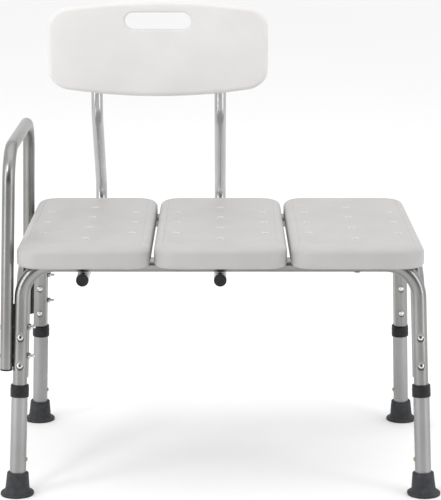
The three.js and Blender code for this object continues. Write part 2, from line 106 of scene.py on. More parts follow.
REST_LOW_Z = 0.646
REST_TOP_Z = 0.830
REST_CENTRE = Vector(((BACK_X["left"] + BACK_X["right"]) / 2, 0, (REST_LOW_Z + REST_TOP_Z) / 2))
REST_HALF_W = 0.2125
REST_HALF_H = (REST_TOP_Z - REST_LOW_Z) / 2
REST_FRONT_Y = 0.237
REST_THICK = 0.027
REST_CORNER = 0.036
SLOT_Z = 0.7916
SLOT_HALF_W = 0.0635
SLOT_R = 0.0165
REST_SCREWS_Z = {"lower": 0.680, "upper": 0.750}

ARM_X = 0.3752
ARM_DATUM_Z = 0.276
ARM_LEAN = 0.026
ARM_TOP_Z = 0.6085
ARM_END_Z = 0.225
ARM_BEND = 0.062
ARM_BOLTS_Z = {"upper": 0.2995, "lower": 0.248}
PAD_LOW_Z = 0.229
PAD_TOP_Z = 0.340
PAD_HALF_W = 0.004

HEAD_R = 0.0052
HEAD_H = 0.0024
SLEEVE_HEAD_H = 0.0015
RAIL_HEAD_R = 0.0060
RAIL_HEAD_H = 0.0030
SHANK_R = 0.0029
SHANK_LENGTH = 0.006
HEAD_SINK = 0.0004
NUT_GAP = 0.0004
THREAD_LENGTH = 0.0125
DIMPLE_R = 0.0086
DIMPLE_DEPTH = 0.0021
ARM_DIMPLE_R = 0.0070
ARM_DIMPLE_DEPTH = 0.0012
SEAT_BOLT_X = 0.2385

LEGS = {
    "front_left": (-1, -1),
    "front_right": (1, -1),
    "rear_left": (-1, 1),
    "rear_right": (1, 1),
}


def leg_point(leg, z):
    """The point of a leg's axis at a height."""
    sx, sy = LEGS[leg]
    return Vector((sx * (FOOT_X - SPLAY_X * z), sy * (FOOT_Y - SPLAY_Y * z), z))


def leg_axis(leg):
    return (leg_point(leg, 1) - leg_point(leg, 0)).normalized()


def square_to(axis, direction):
    """The part of a direction that is square to an axis."""
    direction = Vector(direction)
    return (direction - axis * direction.dot(axis)).normalized()


def inward_x(leg):
    return square_to(leg_axis(leg), (-LEGS[leg][0], 0, 0))


def inward_y(leg):
    return square_to(leg_axis(leg), (0, -LEGS[leg][1], 0))


def arm_point(sy, z):
    x = -(ARM_X - ARM_LEAN * (z - ARM_DATUM_Z))
    return Vector((x, sy * (FOOT_Y - SPLAY_Y * z), z))


# ---------- materials ----------
def new_material(name, metallic, roughness):
    """A Principled material; returns it with its node tree and shader."""
    material = bpy.data.materials.new(name)
    material.use_nodes = True
    tree = material.node_tree
    shader = tree.nodes["Principled BSDF"]
    shader.inputs["Metallic"].default_value = metallic
    shader.inputs["Roughness"].default_value = roughness
    return material, tree, shader


def noise(tree, scale, detail=3, source="Object", stretch=(1, 1, 1)):
    """A noise texture in the piece's own metres, or in its lengthwise map for a tube."""
    coordinates = tree.nodes.new("ShaderNodeTexCoord")
    mapping = tree.nodes.new("ShaderNodeMapping")
    mapping.inputs["Scale"].default_value = stretch
    texture = tree.nodes.new("ShaderNodeTexNoise")
    texture.inputs["Scale"].default_value = scale
    texture.inputs["Detail"].default_value = detail
    tree.links.new(coordinates.outputs[source], mapping.inputs["Vector"])
    tree.links.new(mapping.outputs["Vector"], texture.inputs["Vector"])
    return texture.outputs["Fac"]


def ramp(tree, value, low, high, stops=(0.35, 0.65)):
    """Turns a value into a colour, or a grey when low and high are numbers."""
    node = tree.nodes.new("ShaderNodeValToRGB")
    for element, place, colour in zip(node.color_ramp.elements, stops, (low, high)):
        element.position = place
        if isinstance(colour, (int, float)):
            colour = (colour, colour, colour)
        element.color = (*colour, 1)
    tree.links.new(value, node.inputs["Fac"])
    return node.outputs["Color"]


def bump(tree, shader, height, strength, distance):
    node = tree.nodes.new("ShaderNodeBump")
    node.inputs["Strength"].default_value = strength
    node.inputs["Distance"].default_value = distance
    tree.links.new(height, node.inputs["Height"])
    tree.links.new(node.outputs["Normal"], shader.inputs["Normal"])


def aluminium(name, low, high, polish):
    """Satin anodised tube with fine drawn lines along it."""
    material, tree, shader = new_material(name, 1.0, polish)
    patches = noise(tree, 9, 2)
    tree.links.new(ramp(tree, patches, low, high), shader.inputs["Base Color"])
    lines = noise(tree, 1, 4, "UV", (2600, 14, 1))
    tree.links.new(ramp(tree, lines, polish - 0.05, polish + 0.06), shader.inputs["Roughness"])
    bump(tree, shader, lines, 0.12, 0.00006)
    return material


def marked(tree, plain, attribute, colour):
    """Changes a colour on the faces that carry a mark; it paints the drain-hole highlight and the shade in
    screw recesses.
    """
    mark = tree.nodes.new("ShaderNodeAttribute")
    mark.attribute_name = attribute
    mix = tree.nodes.new("ShaderNodeMix")
    mix.data_type = "RGBA"
    tree.links.new(mark.outputs["Fac"], mix.inputs["Factor"])
    tree.links.new(plain, mix.inputs[6])
    mix.inputs[7].default_value = (*colour, 1)
    return mix.outputs[2]


def white_plastic(name, low, high):
    """Blow-moulded polyethylene with a fine moulded grain; the marked drain-hole walls get a painted
    highlight, a lighter colour.
    """
    material, tree, shader = new_material(name, 0.0, 0.45)
    clouds = noise(tree, 14, 3)
    # painted highlight: the marked drain-hole walls take a lighter colour that stands in for the light seen
    # in the holes
    colour = marked(tree, ramp(tree, clouds, low, high), "drain_painted_highlight", (0.62, 0.62, 0.615))
    tree.links.new(colour, shader.inputs["Base Color"])
    grain = noise(tree, 1400, 2)
    tree.links.new(ramp(tree, grain, 0.43, 0.53), shader.inputs["Roughness"])
    bump(tree, shader, grain, 0.12, 0.0001)
    return material


def black_plastic():
    material, tree, shader = new_material("black_plastic", 0.0, 0.45)
    shader.inputs["Specular IOR Level"].default_value = 0.25
    scuffs = noise(tree, 160, 4)
    colour = ramp(tree, scuffs, (0.010, 0.0105, 0.0115), (0.018, 0.0185, 0.020))
    tree.links.new(colour, shader.inputs["Base Color"])
    grain = noise(tree, 1800, 2)
    tree.links.new(ramp(tree, grain, 0.38, 0.5), shader.inputs["Roughness"])
    bump(tree, shader, grain, 0.2, 0.0001)
    return material


def grey_rubber():
    material, tree, shader = new_material("grey_rubber", 0.0, 0.7)
    shader.inputs["Specular IOR Level"].default_value = 0.35
    dust = noise(tree, 90, 5)
    colour = ramp(tree, dust, (0.026, 0.028, 0.032), (0.042, 0.044, 0.048))
    tree.links.new(colour, shader.inputs["Base Color"])
    grain = noise(tree, 1100, 3)
    tree.links.new(ramp(tree, grain, 0.58, 0.75), shader.inputs["Roughness"])
    bump(tree, shader, grain, 0.3, 0.0002)
    return material


def steel():
    material, tree, shader = new_material("zinc_plated_steel", 1.0, 0.22)
    patches = noise(tree, 400, 3)
    bright = ramp(tree, patches, (0.66, 0.65, 0.63), (0.80, 0.79, 0.77))
    # painted shade: the marked recess faces of the heads are coloured near black for the shade inside the
    # cross and the slot
    colour = marked(tree, bright, "recess", (0.012, 0.012, 0.012))
    tree.links.new(colour, shader.inputs["Base Color"])
    marks = noise(tree, 1500, 3)
    tree.links.new(ramp(tree, marks, 0.16, 0.3), shader.inputs["Roughness"])
    bump(tree, shader, marks, 0.1, 0.00004)
    return material


def brass():
    material, tree, shader = new_material("bright_brass", 1.0, 0.25)
    patches = noise(tree, 500, 3)
    tree.links.new(ramp(tree, patches, (0.36, 0.26, 0.10), (0.47, 0.35, 0.15)), shader.inputs["Base Color"])
    marks = noise(tree, 1600, 2)
    tree.links.new(ramp(tree, marks, 0.18, 0.32), shader.inputs["Roughness"])
    bump(tree, shader, marks, 0.1, 0.00004)
    return material


MATERIALS = {
    "aluminium_tube": aluminium("satin_aluminium", (0.255, 0.253, 0.25), (0.30, 0.298, 0.295), 0.28),
    "leg_aluminium": aluminium("matt_aluminium", (0.33, 0.33, 0.33), (0.37, 0.37, 0.37), 0.42),
    "back_aluminium": aluminium("bright_aluminium", (0.42, 0.42, 0.425), (0.48, 0.48, 0.485), 0.26),
    # The seat and the backrest are one polyethylene in two tones set by the light they get: the backrest's
    # lighter copy is painted light for the light shining through it from behind, and the seat's darker copy
    # is painted shade.
    "white_plastic": white_plastic("seat_polyethylene_painted_shade", (0.412, 0.403, 0.396), (0.436, 0.427, 0.420)),
    "rest_plastic_painted_light": white_plastic("rest_polyethylene_painted_light", (0.68, 0.668, 0.662), (0.71, 0.698, 0.692)),
    "black_plastic": black_plastic(),
    "grey_rubber": grey_rubber(),
    "steel": steel(),
    "brass": brass(),
}


# ---------- mesh helpers ----------
def make_mesh(name, verts, faces, maps=None):
    """A smooth mesh object from points and faces; maps are per-corner (across, along)."""
    mesh = bpy.data.meshes.new(name)
    mesh.from_pydata([tuple(v) for v in verts], [], faces)
    if maps:
        layer = mesh.uv_layers.new(name="lengthwise")
        for slot, pair in zip(layer.data, maps):
            slot.uv = pair
    piece = bpy.data.objects.new(name, mesh)
    bpy.context.scene.collection.objects.link(piece)
    tidy(piece)
    return piece


def tidy(piece, sharp=38):
    """Faces outward, smooth shading, creases kept where the surface turns sharply."""
    bm = bmesh.new()
    bm.from_mesh(piece.data)
    bmesh.ops.remove_doubles(bm, verts=bm.verts, dist=1e-7)
    bmesh.ops.recalc_face_normals(bm, faces=bm.faces)
    bm.to_mesh(piece.data)
    bm.free()
    for polygon in piece.data.polygons:
        polygon.use_smooth = True
    piece.data.set_sharp_from_angle(angle=math.radians(sharp))


def stack(name, rings, closed=False):
    """Joins rings of equal length with quads; its ends are capped, or joined when closed."""
    count = len(rings[0])
    verts = [point for ring in rings for point in ring]
    faces = []
    pairs = len(rings) if closed else len(rings) - 1
    for i in range(pairs):
        a = i * count
        b = (i + 1) % len(rings) * count
        for j in range(count):
            k = (j + 1) % count
            faces.append((a + j, a + k, b + k, b + j))
    if not closed:
        faces.append(tuple(range(count)))
        faces.append(tuple(reversed(range(len(verts) - count, len(verts)))))
    return make_mesh(name, verts, faces)


def circle(centre, axis, radius, sides=48, start=None):
    """A ring of points square to an axis."""
    axis = Vector(axis).normalized()
    across = square_to(axis, start or ((1, 0, 0) if abs(axis.x) < 0.8 else (0, 1, 0)))
    other = axis.cross(across)
    ring = []
    for i in range(sides):
        turn = 2 * math.pi * i / sides
        ring.append(centre + (across * math.cos(turn) + other * math.sin(turn)) * radius)
    return ring


def rounded(profile, steps=5):
    """Rounds the corners of a profile; each point is (radius, height, corner radius)."""
    points = [Vector((p[0], p[1])) for p in profile]
    out = [points[0]]
    for i in range(1, len(points) - 1):
        size = profile[i][2] if len(profile[i]) > 2 else 0
        before = (points[i - 1] - points[i]).normalized()
        after = (points[i + 1] - points[i]).normalized()
        if size <= 0 or abs(before.dot(after)) > 0.9999:
            out.append(points[i])
            continue
        half = before.angle(after) / 2
        reach = size / math.tan(half)
        centre = points[i] + (before + after).normalized() * size / math.sin(half)
        first = points[i] + before * reach - centre
        last = points[i] + after * reach - centre
        for k in range(steps + 1):
            mixed = first.lerp(last, k / steps).normalized() * size
            out.append(centre + mixed)
    out.append(points[-1])
    return out


def turned(name, profile, at, axis, sides=48, closed=False):
    """A turned piece round an axis, from (radius, height, corner radius) points."""
    axis = Vector(axis).normalized()
    rings = []
    for radius, height in rounded(profile):
        rings.append(circle(at + axis * height, axis, max(radius, 1e-5), sides))
    return stack(name, rings, closed)


def rod(at, axis, radius, low, high, sides=32):
    """A plain rod used as a cutting tool."""
    return turned("tool", [(radius, low), (radius, high)], at, axis, sides)


def merged(tools):
    """One object from several tools, so that a single cut uses them all."""
    bm = bmesh.new()
    for tool in tools:
        mesh = tool.data.copy()
        mesh.transform(tool.matrix_world)
        bm.from_mesh(mesh)
        bpy.data.meshes.remove(mesh)
        bpy.data.objects.remove(tool)
    mesh = bpy.data.meshes.new("tools")
    bm.to_mesh(mesh)
    bm.free()
    whole = bpy.data.objects.new("tools", mesh)
    bpy.context.scene.collection.objects.link(whole)
    return whole


def carve(piece, tools, sharp=38):
    """Cuts the tools out of the piece."""
    tool = merged(tools)
    cut = piece.modifiers.new("cut", "BOOLEAN")
    cut.operation = "DIFFERENCE"
    cut.solver = "EXACT"
    cut.object = tool
    graph = bpy.context.evaluated_depsgraph_get()
    mesh = bpy.data.meshes.new_from_object(piece.evaluated_get(graph))
    piece.modifiers.clear()
    piece.data = mesh
    bpy.data.objects.remove(tool)
    tidy(piece, sharp)
    return piece


def finish_piece(piece, body, material, nodes=(), look=None):
    """Material, place in the row frame and body of a finished piece."""
    piece.data.materials.clear()
    piece.data.materials.append(MATERIALS[look or material])
    piece.location = piece.location + MIDDLE
    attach(piece, body)
    if nodes:
        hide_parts(*nodes)
    return piece


# ---------- tubes ----------
BEND_ARC = math.radians(4)
STRAIGHT_STEP = 0.014
FINE_STEP = 0.0013


def bent_path(corners, radii, marks=()):
    """Stations (point, direction) along straight runs and bends, close together near marks."""
    stations = []
    start = corners[0]
    for i in range(1, len(corners)):
        along = (corners[i] - corners[i - 1]).normalized()
        last = i == len(corners) - 1
        end = corners[i]
        if not last:
            after = (corners[i + 1] - corners[i]).normalized()
            angle = along.angle(after)
            reach = radii[i - 1] * math.tan(angle / 2)
            end = corners[i] - along * reach
        stations += straight_run(start, end, marks)
        if last:
            break
        axis = along.cross(after).normalized()
        centre = end + axis.cross(along) * radii[i - 1]
        steps = max(4, round(angle / BEND_ARC))
        for k in range(1, steps):
            turn = Matrix.Rotation(angle * k / steps, 3, axis)
            stations.append((centre + turn @ (end - centre), turn @ along))
        start = corners[i] + after * reach
    return stations


def straight_run(start, end, marks):
    along = (end - start).normalized()
    length = (end - start).length
    spots = [(mark - start).dot(along) for mark in marks]
    margin = DIMPLE_R + 0.002
    place = 0
    run = []
    while place < length - 0.0005:
        run.append((start + along * place, along))
        near = min([abs(place - spot) for spot in spots] + [1])
        place += FINE_STEP if near < margin else STRAIGHT_STEP
        ahead = [s - margin for s in spots if place - STRAIGHT_STEP < s - margin < place]
        if ahead and near >= margin:
            place = ahead[0]
    run.append((end, along))
    return run


def dented(point, dimples):
    """Moves a point of a tube's wall inward near each dimple's middle."""
    for centre, outward, depth, reach in dimples:
        offset = point - centre
        height = offset.dot(outward)
        if height <= 0 or height > 2 * FRAME_R:
            continue
        far = (offset - outward * height).length / reach
        if far < 1:
            point = point - outward * depth * (1 - far * far) ** 2
    return point


def tube(name, corners, radii, radius, dimples=(), sides=44):
    """A bent tube with a real wall, rounded open ends and dimples under its bolts."""
    path = bent_path(corners, radii, [d[0] for d in dimples])
    across = (corners[1] - corners[0]).cross(corners[2] - corners[1])
    if across.length < 1e-6:
        across = None
    lip = 0.0003
    first = path[0]
    last = path[-1]
    outer = [(first[0], first[1], radius - lip), (first[0] + first[1] * lip, first[1], radius)]
    outer += [(point, along, radius) for point, along in path[1:-1]]
    outer += [(last[0] - last[1] * lip, last[1], radius), (last[0], last[1], radius - lip)]
    inner = [(point, along, radius - WALL) for point, along in reversed(path)]
    rings = []
    lengths = []
    travel = 0
    before = None
    for point, along, size in outer + inner:
        ring = circle(point, along, size, sides, across)
        rings.append([dented(p, dimples) for p in ring])
        travel += (point - before).length if before is not None else 0
        before = point
        lengths.append(travel)
    verts = [p for ring in rings for p in ring]
    faces = []
    maps = []
    count = len(rings)
    for i in range(count):
        n = (i + 1) % count
        next_length = lengths[n] if n else lengths[i] + 0.001
        for j in range(sides):
            k = (j + 1) % sides
            faces.append((i * sides + j, i * sides + k, n * sides + k, n * sides + j))
            left = j / sides * 2 * math.pi * radius
            right = (j + 1) / sides * 2 * math.pi * radius
            maps += [(left, lengths[i]), (right, lengths[i])]
            maps += [(right, next_length), (left, next_length)]
    return make_mesh(name, verts, faces, maps)


def frame_corners(sy):
    left = "front_left" if sy < 0 else "rear_left"
    right = "front_right" if sy < 0 else "rear_right"
    return [
        leg_point(left, FRAME_END_Z),
        leg_point(left, RAIL_Z),
        leg_point(right, RAIL_Z),
        leg_point(right, FRAME_END_Z),
    ]


def frame_dimples(leg):
    outward = -inward_y(leg)
    return [(leg_point(leg, z), outward, DIMPLE_DEPTH, DIMPLE_R) for z in FRAME_BOLTS_Z.values()]


def build_frame():
    for sy, word in ((-1, "front"), (1, "rear")):
        dimples = frame_dimples(f"{word}_left") + frame_dimples(f"{word}_right")
        corners = frame_corners(sy)
        piece = tube(f"{word}_frame_tube_round", corners, [FRAME_BEND] * 2, FRAME_R, dimples)
        finish_piece(piece, "bench", "aluminium_tube", [f"{word}_frame_tube"])
    for word in ("left", "right"):
        ends = [f"front_{word}", f"rear_{word}"]
        beside = [
            [leg_point(leg, z) + inward_y(leg) * SIDE_STEP for z in (SIDE_END_Z, SIDE_TOP_Z)]
            for leg in ends
        ]
        corners = [beside[0][0], beside[0][1], beside[1][1], beside[1][0]]
        dimples = []
        for leg in ends:
            for z in FRAME_BOLTS_Z.values():
                centre = leg_point(leg, z) + inward_y(leg) * SIDE_STEP
                dimples.append((centre, inward_y(leg), DIMPLE_DEPTH, DIMPLE_R))
        piece = tube(f"{word}_side_tube_round", corners, [SIDE_BEND] * 2, FRAME_R, dimples)
        finish_piece(piece, "bench", "aluminium_tube", [f"{word}_side_tube"])


# ---------- screws ----------
def cross_recess(depth, reach):
    """Two crossed wedges that cut a Phillips recess into a head whose top is at Z = 0."""
    tools = []
    for turn in (0, math.pi / 2):
        verts = []
        for z, long, wide in ((0.0004, reach, 0.0010), (-depth, reach * 0.5, 0.0006)):
            for x, y in ((long, wide), (-long, wide), (-long, -wide), (long, -wide)):
                verts.append(Matrix.Rotation(turn, 3, "Z") @ Vector((x, y, z)))
        faces = [(0, 1, 2, 3), (7, 6, 5, 4)]
        faces += [(i, i + 4, (i + 1) % 4 + 4, (i + 1) % 4) for i in range(4)]
        tools.append(make_mesh("tool", verts, faces))
    return tools


def slot_recess(depth, reach, wide):
    verts = []
    for z in (0.0006, -depth):
        for x, y in ((reach, wide), (-reach, wide), (-reach, -wide), (reach, -wide)):
            verts.append(Vector((x, y, z)))
    faces = [(0, 1, 2, 3), (7, 6, 5, 4)]
    faces += [(i, i + 4, (i + 1) % 4 + 4, (i + 1) % 4) for i in range(4)]
    return [make_mesh("tool", verts, faces)]


def mark_recess_for_shade(mesh, radius, height):
    """Marks the walls and floor of the recess in a head, where painted shade turns the steel near black."""
    marks = mesh.attributes.new("recess", "FLOAT", "FACE")
    for polygon, mark in zip(mesh.polygons, marks.data):
        middle = polygon.center
        inside = math.hypot(middle.x, middle.y) < radius * 0.8 and middle.z > 0
        steep = abs(polygon.normal.z) < 0.6 or middle.z < height * 0.4
        mark.value = 1.0 if inside and steep else 0.0


def screw_mesh(radius, height, shank):
    """A pan head with a cross recess; the underside is at Z = 0 and the shank runs down."""
    profile = [
        (0, height),
        (radius * 0.55, height * 0.94),
        (radius * 0.88, height * 0.62),
        (radius, height * 0.18),
        (radius * 0.97, 0),
        (SHANK_R, 0),
        (SHANK_R, -shank),
        (0, -shank),
    ]
    head = turned("screw", profile, Vector(), (0, 0, 1), 40)
    for tool in cross_recess(height * 0.75, radius * 0.72):
        tool.location.z = height
        bpy.context.view_layer.update()
        carve(head, [tool], 30)
    mesh = head.data
    mark_recess_for_shade(mesh, radius, height)
    bpy.data.objects.remove(head)
    return mesh


def sleeve_nut_mesh():
    """The low slotted head of a sleeve nut."""
    profile = [
        (0, SLEEVE_HEAD_H),
        (HEAD_R * 0.72, 0.0014),
        (HEAD_R * 0.94, 0.0009),
        (HEAD_R * 0.96, 0),
        (0.0033, 0),
        (0.0033, -0.003),
        (0, -0.003),
    ]
    head = turned("sleeve_nut", profile, Vector(), (0, 0, 1), 40)
    tools = slot_recess(0.0009, HEAD_R * 1.2, 0.0006)
    for tool in tools:
        tool.location.z = SLEEVE_HEAD_H
    bpy.context.view_layer.update()
    carve(head, tools, 30)
    mesh = head.data
    mark_recess_for_shade(mesh, HEAD_R * 1.25, SLEEVE_HEAD_H)
    bpy.data.objects.remove(head)
    return mesh


def hex_nut_mesh():
    """A hexagon nut with chamfered corners."""
    size = 0.0056
    thick = 0.005
    bore = 0.0031
    rings = []
    for radius, z, six in (
        (bore, 0.0003, False),
        (bore + 0.0004, 0, False),
        (size * 0.86, 0, False),
        (size, 0.0007, True),
        (size, thick - 0.0007, True),
        (size * 0.86, thick, False),
        (bore + 0.0004, thick, False),
        (bore, thick - 0.0003, False),
    ):
        ring = []
        for i in range(48):
            turn = 2 * math.pi * i / 48
            flat = math.cos(math.pi / 6) / math.cos((turn % (math.pi / 3)) - math.pi / 6)
            reach = radius * flat if six else radius
            ring.append(Vector((reach * math.cos(turn), reach * math.sin(turn), z)))
        rings.append(ring)
    nut = stack("nut", rings, closed=True)
    tidy(nut, 25)
    mesh = nut.data
    bpy.data.objects.remove(nut)
    return mesh


def thread_mesh(length):
    """A bolt's threaded end with V-shaped ridges and a chamfered tip."""
    pitch = 0.001
    crest = SHANK_R
    root = 0.0024
    profile = [(0.0001, 0), (root, 0)]
    place = pitch / 2
    while place < length - pitch:
        profile.append((crest, place))
        profile.append((root, place + pitch / 2))
        place += pitch
    profile += [(root * 0.9, length), (0.0001, length)]
    bolt = turned("thread", profile, Vector(), (0, 0, 1), 24)
    mesh = bolt.data
    bpy.data.objects.remove(bolt)
    return mesh


def placed(name, mesh, at, outward, spin=0.0):
    """An object that shows a shared mesh, with its Z along a direction."""
    piece = bpy.data.objects.new(name, mesh)
    bpy.context.scene.collection.objects.link(piece)
    turn = Vector(outward).to_track_quat("Z", "Y").to_matrix().to_4x4()
    piece.matrix_world = Matrix.Translation(at) @ turn @ Matrix.Rotation(spin, 4, "Z")
    bpy.context.view_layer.update()
    return piece


def build_bolts():
    screw = screw_mesh(HEAD_R, HEAD_H, SHANK_LENGTH)
    sleeve = sleeve_nut_mesh()
    wide_screw = screw_mesh(RAIL_HEAD_R, RAIL_HEAD_H, SHANK_LENGTH)
    nut = hex_nut_mesh()
    thread = thread_mesh(THREAD_LENGTH)
    spin = 0.4
    for leg in LEGS:
        for word, z in FRAME_BOLTS_Z.items():
            spin += 1.9
            outward = -inward_y(leg)
            seat = leg_point(leg, z) + outward * (FRAME_R - DIMPLE_DEPTH + 0.0003)
            piece = placed(f"frame_screw_{leg}_{word}", screw, seat, outward, spin)
            finish_piece(piece, "bench", "steel", [f"frame_bolt_{leg}_{word}"])
            reach = SIDE_STEP + FRAME_R - DIMPLE_DEPTH + 0.0002
            inner = leg_point(leg, z) + inward_y(leg) * reach
            piece = placed(f"frame_sleeve_nut_{leg}_{word}", sleeve, inner, inward_y(leg), spin * 1.3)
            finish_piece(piece, "bench", "steel")
    for word, sy in (("front", -1), ("rear", 1)):
        leg = f"{word}_left"
        for level, z in ARM_BOLTS_Z.items():
            spin += 1.3
            outer = arm_point(sy, z)
            inner = leg_point(leg, z)
            along = (inner - outer).normalized()
            seat = outer - along * (BACK_R - ARM_DIMPLE_DEPTH + NUT_GAP)
            piece = placed(f"arm_screw_{word}_{level}", screw, seat, -along, spin)
            finish_piece(piece, "bench", "steel", [f"arm_bolt_{word}_{level}"])
            face = inner + along * (FRAME_R + NUT_GAP)
            piece = placed(f"arm_hex_nut_{word}_{level}", nut, face, along, spin)
            finish_piece(piece, "bench", "steel", [f"arm_nut_{word}_{level}"])
            piece = placed(f"arm_thread_{word}_{level}", thread, inner + along * FRAME_R, along)
            finish_piece(piece, "bench", "steel")
    for side, x in BACK_X.items():
        for word, sy in (("front", -1), ("rear", 1)):
            spin += 0.8
            seat = Vector((x, sy * RAIL_Y, BACK_LOW_Z - BACK_R + HEAD_SINK))
            piece = placed(f"back_screw_{side}_{word}", wide_screw, seat, (0, 0, -1), spin)
            finish_piece(piece, "bench", "steel", [f"back_bolt_{side}_{word}"])
        for level, z in REST_SCREWS_Z.items():
            spin += 1.1
            seat = Vector((x, BACK_POST_Y + BACK_R - HEAD_SINK, z))
            piece = placed(f"rest_pan_screw_{side}_{level}", screw, seat, (0, 1, 0), spin)
            finish_piece(piece, "bench", "steel", [f"rest_screw_{side}_{level}"])
    for word, sy in (("front", -1), ("rear", 1)):
        seat = Vector((SEAT_BOLT_X, sy * RAIL_Y, RAIL_Z - FRAME_R + HEAD_SINK))
        piece = placed(f"seat_screw_{word}", wide_screw, seat, (0, 0, -1), spin)
        finish_piece(piece, "bench", "steel", [f"seat_bolt_{word}"])


# ---------- legs ----------
def build_legs():
    for leg in LEGS:
        body = f"leg_{leg}"
        low = leg_point(leg, FOOT_FLOOR + 0.0003)
        high = leg_point(leg, LEG_TOP_Z)
        half = (low + high) / 2
        piece = tube(f"leg_extension_{leg}_round", [low, half, high], [0.001], LEG_R)
        tools = []
        for i in range(HOLE_COUNT):
            centre = leg_point(leg, BUTTON_Z) + leg_axis(leg) * HOLE_PITCH * i
            tools.append(rod(centre, inward_x(leg), BUTTON_R + 0.0005, 0.004, LEG_R + 0.004))
        carve(piece, tools)
        finish_piece(piece, body, "aluminium_tube", [f"leg_extension_{leg}"], "leg_aluminium")
        build_collar(leg, body)
        build_foot(leg, body)
        build_button(leg)


def build_collar(leg, body):
    height = COLLAR_TOP_Z - COLLAR_LOW_Z
    seat = LEG_TOP_Z - COLLAR_LOW_Z + 0.0004
    lip = FRAME_R + 0.0003
    bore = LEG_R + 0.0003
    step = 0.0003
    profile = [
        (bore, seat),
        (bore, 0.0006),
        (bore + 0.0004, 0),
        (COLLAR_R, 0, 0.0007),
        (COLLAR_R, 0.0155, 0.0004),
        (COLLAR_R - step, 0.0160, 0.0004),
        (COLLAR_R - step, height, 0.0016),
        (lip + 0.0003, height),
        (lip, height - 0.0004),
        (lip, seat),
    ]
    at = leg_point(leg, COLLAR_LOW_Z)
    piece = turned(f"leg_collar_{leg}_moulded", profile, at, leg_axis(leg), 56, True)
    finish_piece(piece, body, "black_plastic", [f"leg_collar_{leg}"])


def build_foot(leg, body):
    """A flat flange on the floor that blends into a cone along the leaning leg."""
    flange = FOOT_FLANGE_R
    outside = [
        (0.0100, 0, 0), (0.0102, 0.0008, 0.0002), (0.0135, 0.0008, 0.0002), (0.0137, 0, 0.0002),
        (0.0185, 0, 0.0002), (0.0187, 0.0008, 0.0002), (0.0222, 0.0008, 0.0002), (0.0224, 0, 0.0002),
        (flange - 0.0006, 0, 0.0004), (flange, 0.0012, 0.0005), (flange, 0.0042, 0.0010),
        (flange - 0.0016, 0.0056, 0.0012), (0.0238, 0.0064, 0.0016), (0.0213, 0.0120, 0.0050),
        (0.0201, 0.0262, 0.0010), (0.0190, 0.0385, 0.0010), (0.0182, FOOT_HEIGHT, 0.0010),
        (LEG_R + 0.0012, FOOT_HEIGHT, 0.0006), (LEG_R + 0.0003, FOOT_HEIGHT - 0.0012, 0.0004),
        (LEG_R + 0.0003, 0.0085, 0),
    ]
    axis = leg_axis(leg)
    base = leg_point(leg, 0)
    rings = []
    for radius, height in rounded(outside, 4):
        lean = min(1, max(0, (height - 0.004) / 0.010))
        lean = lean * lean * (3 - 2 * lean)
        tilt = Vector((0, 0, 1)).lerp(axis, lean).normalized()
        rings.append(circle(base + tilt * height, tilt, radius, 64))
    piece = stack(f"rubber_foot_{leg}_moulded", rings)
    finish_piece(piece, body, "grey_rubber", [f"rubber_foot_{leg}"])


def build_button(leg):
    low = FRAME_R - 0.0046
    tip = LEG_R + 0.0024
    profile = [
        (0, low),
        (BUTTON_BASE_R, low, 0.0003),
        (BUTTON_BASE_R, low + 0.0012, 0.0003),
        (BUTTON_R, low + 0.0024, 0.0003),
        (BUTTON_R, tip, 0.0024),
        (0, tip),
    ]
    piece = turned(f"spring_button_{leg}_domed", profile, leg_point(leg, BUTTON_Z), inward_x(leg), 32)
    finish_piece(piece, f"button_{leg}", "brass", [f"spring_button_{leg}"])


# ---------- seat ----------
ROLL_W = 0.014
ROLL_H = 0.012
UNDER_ROLL = 0.006
DRAIN_R = 0.0046
DRAIN_MOUTH_R = 0.0064
DRAIN_MOUTH_DEPTH = 0.0014
DRAIN_COLUMN = 0.080
DRAIN_SIDE_ROWS = (-0.098, 0, 0.098)
DRAIN_MIDDLE_ROWS = (-0.148, -0.049, 0.049, 0.148)


def box_outline(half_w, half_d, radius, z, corner_steps=14):
    """A rounded rectangle of points at a height."""
    ring = []
    for quarter, (sx, sy) in enumerate(((1, 1), (-1, 1), (-1, -1), (1, -1))):
        for i in range(corner_steps + 1):
            turn = math.pi / 2 * (quarter + i / corner_steps)
            x = sx * (half_w - radius) + radius * math.cos(turn)
            y = sy * (half_d - radius) + radius * math.sin(turn)
            ring.append(Vector((x, y, z)))
    return ring


def panel_rings():
    """Insets and heights from the underside up over the rolled edge to the flat top."""
    under = UNDER_ROLL
    steps = [(0.030, PANEL_LOW_Z)]
    for i in range(7):
        turn = math.pi / 2 * i / 6
        steps.append((under * (1 - math.sin(turn)), PANEL_LOW_Z + under * (1 - math.cos(turn))))
    steps.append((0, PANEL_TOP_Z - ROLL_H - 0.004))
    for i in range(11):
        turn = math.pi / 2 * i / 10
        inset = ROLL_W * (1 - math.cos(turn))
        steps.append((inset, PANEL_TOP_Z - ROLL_H * (1 - math.sin(turn))))
    steps.append((ROLL_W + 0.0012, PANEL_TOP_Z - 0.0001))
    steps.append((ROLL_W + 0.0020, PANEL_TOP_Z - 0.0007))
    steps.append((ROLL_W + 0.0030, PANEL_TOP_Z - 0.0007))
    steps.append((ROLL_W + 0.0042, PANEL_TOP_Z - 0.0001))
    steps.append((ROLL_W + 0.0060, PANEL_TOP_Z))
    return steps


def drain_places():
    """The middles of the drain holes, from the panel's own middle."""
    for column in (-1, 0, 1):
        for y in DRAIN_SIDE_ROWS if column else DRAIN_MIDDLE_ROWS:
            yield column * DRAIN_COLUMN, y


